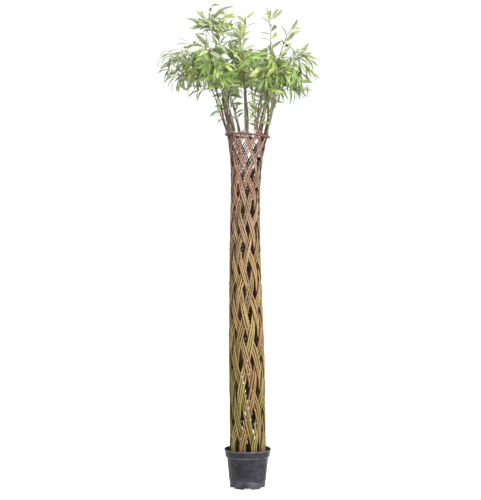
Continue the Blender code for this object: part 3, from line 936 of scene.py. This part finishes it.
# For each mass: its stems, how full it is, how much it droops, the share of a stem where leaves begin,
# the chance of each low sprig, the masses its twigs join, and the leaf tints dealt out to its sprays
massColumns = ("stems", "fullness", "droop", "leafyFrom", "sprigChance", "joins", "tints")
massRows = {
    "left": (3, 0.92, 0.5, 0.62, 0.08, "front_left back_left", "fresh meadow lime silver fresh"),
    "front_left": (3, 0.78, 0.5, 0.52, 0.45, "left centre", "fresh meadow silver deep"),
    "front_right": (3, 0.88, 0.5, 0.5, 0.8, "right right_centre front_left", "meadow fresh deep lime"),
    "right": (3, 1.0, 0.55, 0.6, 0.12, "front_right back_right", "fresh meadow silver lime"),
    "back_right": (2, 0.88, 0.5, 0.55, 0.5, "right right_centre", "meadow fresh deep"),
    "back_left": (2, 0.8, 0.5, 0.55, 0.15, "left back_right", "meadow silver deep"),
    "centre": (3, 0.85, 0.45, 0.36, 0.75, "front_left right_centre top_front", "deep meadow deep meadow"),
    "right_centre": (3, 0.9, 0.4, 0.36, 0.9, "front_right centre top_front", "meadow deep fresh"),
    "top_left": (2, 1.05, 0.12, 0.6, 0.35, "top_front left", "meadow lime fresh meadow"),
    "top_front": (2, 1.0, 0.22, 0.36, 0.7, "centre top_left", "fresh lime meadow"),
    "top_back": (2, 1.0, 0.22, 0.42, 0.5, "centre back_left", "fresh meadow silver"),
    "top_right": (1, 1.0, 0.45, 0.55, 0.8, "right_centre", "fresh lime"),
    "tip_right": (1, 1.2, 0.2, 0.6, 0.35, "right", "fresh silver"),
}
masses = {name: dict(zip(massColumns, row)) for name, row in massRows.items()}
growth = {
    "mostTwigs": 260, "tipDepth": (0.022, 0.050), "tipTries": 14,
    "twigDepth": (0.006, 0.055), "twigTries": 7, "leafyFrom": 0.18, "shortest": 0.05,
    "joinShare": 0.34, "joinPlace": (0.3, 0.6),  # twigs that reach over to a neighbouring mass
}
tintNames = list(leafTints)


def readMass(name):
    node = frame["nodes"][f"leaf_mass_{name}"]
    shape = bmesh.new()
    shape.from_mesh(node.data)
    bmesh.ops.remove_doubles(shape, verts=shape.verts[:], dist=0.00001)
    bmesh.ops.recalc_face_normals(shape, faces=shape.faces[:])
    tree = BVHTree.FromBMesh(shape)
    volume = shape.calc_volume()
    points = [v.co.copy() for v in shape.verts]
    shape.free()
    low = Vector([min(p[i] for p in points) for i in range(3)])
    high = Vector([max(p[i] for p in points) for i in range(3)])
    middle = sum(points, Vector()) / len(points)
    return {"tree": tree, "volume": volume, "low": low, "high": high, "middle": middle}


def depthIn(mass, point):
    # Distance below the surface of a mass, negative outside it
    near, normal, _, distance = mass["tree"].find_nearest(point)
    return distance if (point - near).dot(normal) < 0 else -distance


allMasses = {name: readMass(name) for name in massNames}


def insidePoint(mass, draw, shallowest, deepest):
    best, bestMiss = None, 1e9
    for _ in range(60):
        point = Vector([draw.uniform(mass["low"][i], mass["high"][i]) for i in range(3)])
        depth = depthIn(mass, point)
        miss = max(shallowest - depth, depth - deepest, 0.0)
        if miss < bestMiss:
            best, bestMiss = point, miss
        if miss == 0.0:
            break
    return best


def spline(points, step):
    # A smooth line through the points, in even steps
    ends = [points[0] * 2 - points[1]] + list(points) + [points[-1] * 2 - points[-2]]
    fine = []
    for a, b, c, d in zip(ends, ends[1:], ends[2:], ends[3:]):
        for share in np.linspace(0, 1, 12, endpoint=False):
            fine.append(0.5 * ((2 * b) + (c - a) * share + (2 * a - 5 * b + 4 * c - d) * share ** 2
                               + (3 * b - a - 3 * c + d) * share ** 3))
    fine.append(points[-1].copy())
    fine = np.array([tuple(p) for p in fine])
    length = lengthAlong(fine)
    even = np.linspace(0, length[-1], max(int(length[-1] / step), 3) + 1)
    return alongLine(even, length, fine)


def bend(start, startWay, end, endWay, step):
    span = (end - start).length
    first, last = start + startWay * span * 0.42, end - endWay * span * 0.36
    shares = np.linspace(0, 1, max(int(span / step), 3) + 1)[:, None]
    rest = 1 - shares
    a, b, c, d = (np.array(tuple(p)) for p in (start, first, last, end))
    return a * rest ** 3 + 3 * b * rest ** 2 * shares + 3 * c * rest * shares ** 2 + d * shares ** 3


def outwardAt(point):
    flat = Vector((point.x - columnMiddle(ringHeight), point.y, 0.0))
    return flat.normalized() if flat.length > 1e-4 else Vector((1.0, 0.0, 0.0))


# One leaf: its sections along the blade, and the half width at each
leafPlaces = np.array([-0.06, 0.0, 0.07, 0.19, 0.36, 0.54, 0.72, 0.87])
leafLoop = np.array([-1.0, -0.52, -0.05, 0.05, 0.52, 1.0, 0.52, 0.05, -0.05, -0.52])
leafFace = np.array([0.0, 1.0, 1.0, 1.0, 1.0, 0.0, -1.0, -1.0, -1.0, -1.0])
leafKinds = (0, 0, 2, 0, 0, 1, 1, 2, 1, 1)      # upper side, underside or rib, round the section


def leafHalfWidths(width):
    blade = np.clip(leafPlaces, 0.0, 1.0)
    shape = np.sin(pi * blade ** 0.82) ** 0.85 * (1 - 0.12 * blade)
    return np.maximum(width / 2 * shape, 0.0006)


def leafFaces():
    across, along = len(leafLoop), len(leafPlaces)
    faces, kinds = [], []
    for i in range(along - 1):
        for j in range(across):
            k = (j + 1) % across
            faces.append([i * across + j, i * across + k, (i + 1) * across + k, (i + 1) * across + j])
            kinds.append(2 if i == 0 else leafKinds[j])
    tip = along * across
    for j in range(across):
        faces.append([(along - 1) * across + j, (along - 1) * across + (j + 1) % across, tip])
        kinds.append(leafKinds[j])
    faces.append(list(range(across))[::-1])
    kinds.append(2)
    return faces, kinds


bladeFaces, bladeKinds = leafFaces()


def leafPoints(base, way, top, length, width, curve, fold, twist, draw):
    # way runs along the midrib, top is the upper side's normal, curve bends the tip away from top
    side = way.cross(top).normalized()
    way, top, side = (np.array(tuple(v)) for v in (way, top, side))
    petiole = leaves["petiole"]
    places = np.append(leafPlaces, 1.0)
    blade = np.maximum(places, 0.0)
    angle = curve * blade
    along = petiole + np.where(places < 0, places / 0.06 * petiole, length * np.sin(angle) / curve)
    drop = length * (1 - np.cos(angle)) / curve
    middle = np.array(tuple(base)) + along[:, None] * way - drop[:, None] * top
    normal = np.cos(angle)[:, None] * top + np.sin(angle)[:, None] * way
    turned = twist * blade
    sideHere = np.cos(turned)[:, None] * side + np.sin(turned)[:, None] * normal
    normalHere = np.cos(turned)[:, None] * normal - np.sin(turned)[:, None] * side
    half = leafHalfWidths(width)
    wave = 0.10 * np.sin(places[:-1] * 11 + draw.uniform(0, tau))
    thick = np.where(leafPlaces <= 0, 0.0006, leaves["thickness"])
    spread = half[:, None] * leafLoop[None, :]
    rise = (np.abs(spread) * (sin(fold) + wave[:, None]) + thick[:, None] * leafFace[None, :])
    ring = (middle[:-1, None, :] + spread[..., None] * cos(fold) * sideHere[:-1, None, :]
            + rise[..., None] * normalHere[:-1, None, :])
    return np.concatenate([ring.reshape(-1, 3), middle[-1:]])


def withinBox(point, spare):
    return point.z < cadHigh.z and all(cadLow[i] - spare < point[i] < cadHigh[i] + spare for i in range(2))


def roomFor(homes, tip):
    # A leaf's tip stays near its masses, and may reach further on the side of the plant's middle
    if not withinBox(tip, leaves["boxSpare"]):
        return False
    if homes is None:
        return True
    for mass, spare in homes:
        nearer = (tip - mass["middle"]).dot(outwardAt(mass["middle"])) < 0
        if depthIn(mass, tip) > -(leaves["inward"] if nearer else spare):
            return True
    return False


def addLeaf(store, homes, base, tangent, azimuth, splay, droop, size, tint, draw):
    across = tangent.orthogonal().normalized()
    across = Matrix.Rotation(azimuth, 3, tangent) @ across
    curve = draw.uniform(*leaves["curve"])
    for attempt in range(leaves["tries"]):
        fallLeft = 1 - leaves["lifted"] * attempt
        way = (tangent * cos(splay) + across * sin(splay) - up * droop * fallLeft).normalized()
        sky = up * 0.45 + tangent * 0.35 + outwardAt(base) * 0.55 + anyWay(draw, leaves["uneven"])
        top = (sky - way * sky.dot(way)).normalized()
        length = draw.uniform(*leaves["length"]) * size * (1 - leaves["shorter"] * attempt)
        tip = base + way * (leaves["petiole"] + length * sin(curve) / curve)
        tip = tip - top * length * (1 - cos(curve)) / curve
        if roomFor(homes, tip):
            break
        across = Matrix.Rotation(leaves["nextTry"], 3, tangent) @ across
    else:
        return False
    points = leafPoints(base, way, top, length, length * draw.uniform(*leaves["slimness"]), curve,
                        draw.uniform(*leaves["fold"]), draw.uniform(-1, 1) * leaves["twist"], draw)
    slots = [len(tintNames) * 2 if kind == 2 else tint * 2 + kind for kind in bladeKinds]
    gather(store, points, bladeFaces, slots)
    return True


def leafSpray(store, homes, line, start, droop, tint, size, draw):
    # Leaves set alternately along a twig from a share of its length to the tip
    length = lengthAlong(line)
    tangents = normalised(np.gradient(line, axis=0))
    azimuth = draw.uniform(0, tau)
    grown = 0
    spot = length[-1] * start + draw.uniform(*leaves["gap"])
    while spot < length[-1]:
        share = spot / length[-1]
        base = Vector(alongLine(spot, length, line))
        tangent = Vector(alongLine(spot, length, tangents)).normalized()
        splay = radians(draw.uniform(*leaves["splay"])) * (1.1 - leaves["splayFall"] * share)
        sizeHere = size * (0.85 + 0.25 * sin(pi * min(share * 1.15, 1.0)))
        fall = droop * draw.uniform(*leaves["droopSpread"])
        grown += addLeaf(store, homes, base, tangent, azimuth, splay, fall, sizeHere, tint, draw)
        azimuth += leaves["turn"] + draw.uniform(-leaves["turnSpread"], leaves["turnSpread"])
        spot += draw.uniform(*leaves["gap"])
    grown += addLeaf(store, homes, Vector(line[-1]), Vector(tangents[-1]), azimuth, radians(8), droop * 0.6,
                     size * 0.85, tint, draw)
    return grown


def stemLine(name, foot, offset, tipPoint, droop, draw):
    # A shoot from the ring, along its CAD line and on into the mass to its own tip
    line = centreLine(frame["nodes"][f"shoot_{name}"])
    first = line[0]
    count = len(line) - 1
    moved = []
    for step, point in enumerate(line):
        share = step / count
        sway = Vector([draw.uniform(-1, 1) * shoots["sway"] * min(share * 3, 1) for _ in range(3)])
        gathered = (foot - first) * (1 - share) ** shoots["gather"]
        moved.append(point + gathered + offset * share ** shoots["open"] + sway)
    arrive = (moved[-1] - moved[-2]).normalized()
    outward = outwardAt(tipPoint)
    leave = (arrive * 0.6 + outward * 0.5 - up * droop * 0.6).normalized()
    onward = bend(moved[-1], arrive, tipPoint, leave, 0.03)[1:]
    return spline(moved + [Vector(p) for p in onward], shoots["step"])


def addTwig(store, line, draw):
    radii = np.linspace(twigs["footRadius"], twigs["tipRadius"], len(line))
    addTube(store, line, radii, draw.choice(twigs["tones"]), twigs["sides"], capSlot=0,
            shift=draw.uniform(0, 5))


def anyTint(settings, draw):
    return tintNames.index(draw.choice(settings["tints"].split()))


def addSprig(twigStore, leafStore, line, settings, draw):
    # A short leafy side shoot between the ring and the crown
    spot = int(draw.uniform(*shoots["sprigFrom"]) * len(line))
    start = Vector(line[spot])
    along = (Vector(line[spot + 1]) - start).normalized()
    side = (Vector([draw.uniform(-1, 1) for _ in range(2)] + [0.0]) - outwardAt(start) * 0.5).normalized()
    end = start + (along * 0.8 + side * 0.9).normalized() * draw.uniform(*shoots["sprigLength"])
    twig = bend(start, (along * 0.3 + side).normalized(), end, (up + side * 0.2).normalized(), twigs["step"])
    addTwig(twigStore, twig, draw)
    tint = anyTint(settings, draw)
    leafSpray(leafStore, None, twig, 0.1, shoots["sprigDroop"], tint, shoots["sprigSize"], draw)


def growStem(name, number, store, draw):
    # One shoot of a mass: the first is the stoutest, and the others leave the ring beside it
    settings, mass = masses[name], allMasses[name]
    index, way = strandOfShoot[name]
    points, _ = rodPath(index, way, (0, 1, -1)[number], np.array([strandTop]), 0.0)
    outward = outwardAt(mass["middle"])
    aim = outward * draw.uniform(0.2, 1.2) + up * draw.uniform(0.3, 1.3) * (1 - settings["droop"] * 0.6)
    if number:
        aim += anyWay(draw)
    inner = [insidePoint(mass, draw, *growth["tipDepth"]) for _ in range(growth["tipTries"])]
    tipPoint = max(inner, key=lambda p: (p - mass["middle"]).dot(aim.normalized()))
    spread = anyWay(draw) * shoots["spread"] * (number > 0)
    line = stemLine(name, Vector(points[0]), spread, tipPoint, settings["droop"], draw)
    length = lengthAlong(line)
    joints = spots(0.004, length[-1], shoots["nodeGap"], draw)
    places = stations(0.0, length[-1], shoots["step"], joints, shoots["nodeSpan"])
    footRadius = shoots["footRadius"] * (1.0 if number == 0 else shoots["thinner"])
    share = places / length[-1]
    radii = footRadius + (shoots["tipRadius"] - footRadius) * share ** shoots["taper"]
    relief = nodeRelief(places, shoots["sides"], joints, shoots["nodeSwell"], shoots["budSwell"], draw,
                        shoots["nodeSpan"])
    addTube(store, alongLine(places, length, line), radii, draw.choice(shoots["tones"]), shoots["sides"],
            relief=relief, shift=draw.uniform(0, 5))
    return line


def pickTarget(mass, settings, targets, draw):
    # Where the next twig ends, well away from the others, and the masses its leaves belong to
    if draw.random() < growth["joinShare"]:
        other = allMasses[draw.choice(settings["joins"].split())]
        here, there = insidePoint(mass, draw, 0.0, 0.1), insidePoint(other, draw, 0.0, 0.1)
        homes = [(mass, leaves["inward"]), (other, leaves["inward"])]
        return here.lerp(there, draw.uniform(*growth["joinPlace"])), homes
    tries = [insidePoint(mass, draw, *growth["twigDepth"]) for _ in range(growth["twigTries"])]
    target = max(tries, key=lambda p: min(((p - t).length for t in targets), default=1.0))
    return target, [(mass, leaves["spare"])]


def twigStart(stems, target, droop):
    # The place on a stem from which a twig reaches the target with the least length and the best rise
    best = None
    for line in stems:
        for i in range(len(line) // 3, len(line) - 1):
            start = Vector(line[i])
            span = (target - start).length
            cost = span + 0.9 * abs((target.z - start.z) - (0.5 - droop) * span)
            if span > growth["shortest"] and (best is None or cost < best[0]):
                best = (cost, start, Vector(line[i + 1]) - start)
    return best


def growMass(name, twigStore, counts):
    settings, mass = masses[name], allMasses[name]
    droop = settings["droop"]
    draw = random.Random(shoots["seed"] + 31 * massNames.index(name))
    stemStore, leafStore = newStore(), newStore()
    stems = [growStem(name, number, stemStore, draw) for number in range(settings["stems"])]
    wanted = mass["volume"] * leaves["perCubicMetre"] * settings["fullness"]
    grown = 0
    for line in stems:
        tint = anyTint(settings, draw)
        grown += leafSpray(leafStore, None, line, settings["leafyFrom"], droop, tint, 1.0, draw)
        for _ in range(shoots["sprigs"]):
            if draw.random() < settings["sprigChance"]:
                addSprig(twigStore, leafStore, line, settings, draw)
    targets = []
    while grown < wanted and len(targets) < growth["mostTwigs"]:
        target, homes = pickTarget(mass, settings, targets, draw)
        targets.append(target)
        best = twigStart(stems, target, droop)
        if best is None:
            continue
        _, start, along = best
        straight = (target - start).normalized()
        leave = (along.normalized() * 0.7 + straight + up * 0.35).normalized()
        arrive = (straight + outwardAt(target) * 0.25 - up * droop * 0.9).normalized()
        twig = bend(start, leave, target, arrive, twigs["step"])
        addTwig(twigStore, twig, draw)
        tint = anyTint(settings, draw)
        grown += leafSpray(leafStore, homes, twig, growth["leafyFrom"], droop, tint, 1.0, draw)
    item = storeObject(stemStore, f"willow_shoots_{name}", [shootBark, cutWood])
    rideOn(item, "young_bark", f"shoot_{name}")
    item = storeObject(leafStore, f"leaves_{name}", leafSkins, radians(75))
    rideOn(item, "leaves", f"leaf_mass_{name}")
    counts.append((name, len(leafStore["faces"]) // len(bladeFaces), len(targets)))


twigStore, counts = newStore(), []
for massName in massNames:
    growMass(massName, twigStore, counts)
rideOn(storeObject(twigStore, "crown_twigs", [shootBark]), "young_bark")
print("crown grown:", sum(c[1] for c in counts), "leaves on", sum(c[2] for c in counts), "twigs", counts)


# Floor, light and camera

studio = {
    "floorSize": 400.0, "floor": (0.82, 0.82, 0.82), "floorGlow": 0.70, "world": 0.46, "backdrop": 1.1,
    "key": {"at": (2.6, -3.6, 3.4), "size": 2.0, "power": 250.0, "aim": 1.1},
    "fill": {"at": (-3.4, -2.8, 2.2), "size": 3.0, "power": 30.0, "aim": 1.1},
    "rim": {"at": (0.6, 3.6, 3.6), "size": 2.6, "power": 80.0, "aim": 1.7},
}
lens = {"at": (-0.0334, -5.2, 1.113), "length": 79.5}


def areaLight(name, settings):
    light = bpy.data.lights.new(name, "AREA")
    light.shape = "DISK"
    light.size = settings["size"]
    light.energy = settings["power"]
    item = placeNew(name, light)
    item.location = settings["at"]
    aim = Vector((0.0, 0.0, settings["aim"])) - item.location
    item.rotation_euler = aim.to_track_quat("-Z", "Y").to_euler()


def buildStudio():
    bpy.ops.mesh.primitive_plane_add(size=studio["floorSize"], location=(0, 0, -0.0002))
    floor = bpy.context.object
    floor.name = floor.data.name = "pale_floor"
    material, tree, shader = makeMaterial("paleFloor", studio["floor"], 0.9, 0.1)
    grain = noiseValue(tree, objectSpace(tree), 3.0, 3.0)
    light = studio["floor"][0]
    feed(tree, shader, colourRamp(tree, grain, [(0.2, (light - 0.01,) * 3), (0.8, (light + 0.01,) * 3)]))
    shader.inputs["Emission Color"].default_value = (1.0, 1.0, 1.0, 1.0)
    seen = addNode(tree, "ShaderNodeLightPath").outputs["Is Camera Ray"]
    glow = rangeMap(tree, seen, 0.0, 1.0, 0.0, studio["floorGlow"])
    tree.links.new(glow, shader.inputs["Emission Strength"])
    floor.data.materials.append(material)
    world = bpy.data.worlds.new("studioWhite")
    bpy.context.scene.world = world
    world.use_nodes = True
    background = world.node_tree.nodes["Background"]
    background.inputs["Color"].default_value = (1.0, 1.0, 1.0, 1.0)
    seen = addNode(world.node_tree, "ShaderNodeLightPath").outputs["Is Camera Ray"]
    strength = rangeMap(world.node_tree, seen, 0.0, 1.0, studio["world"], studio["backdrop"])
    world.node_tree.links.new(strength, background.inputs["Strength"])
    for name in ("key", "fill", "rim"):
        areaLight(f"{name}Light", studio[name])
    bpy.context.scene.view_settings.view_transform = "Standard"
    bpy.context.scene.view_settings.look = "None"


def buildCamera():
    data = bpy.data.cameras.new("frontCamera")
    data.lens = lens["length"]
    data.clip_end = 600.0
    camera = placeNew("frontCamera", data)
    camera.location = lens["at"]
    camera.rotation_euler = (pi / 2, 0.0, 0.0)
    bpy.context.scene.camera = camera


buildStudio()
buildCamera()
print("studio set")
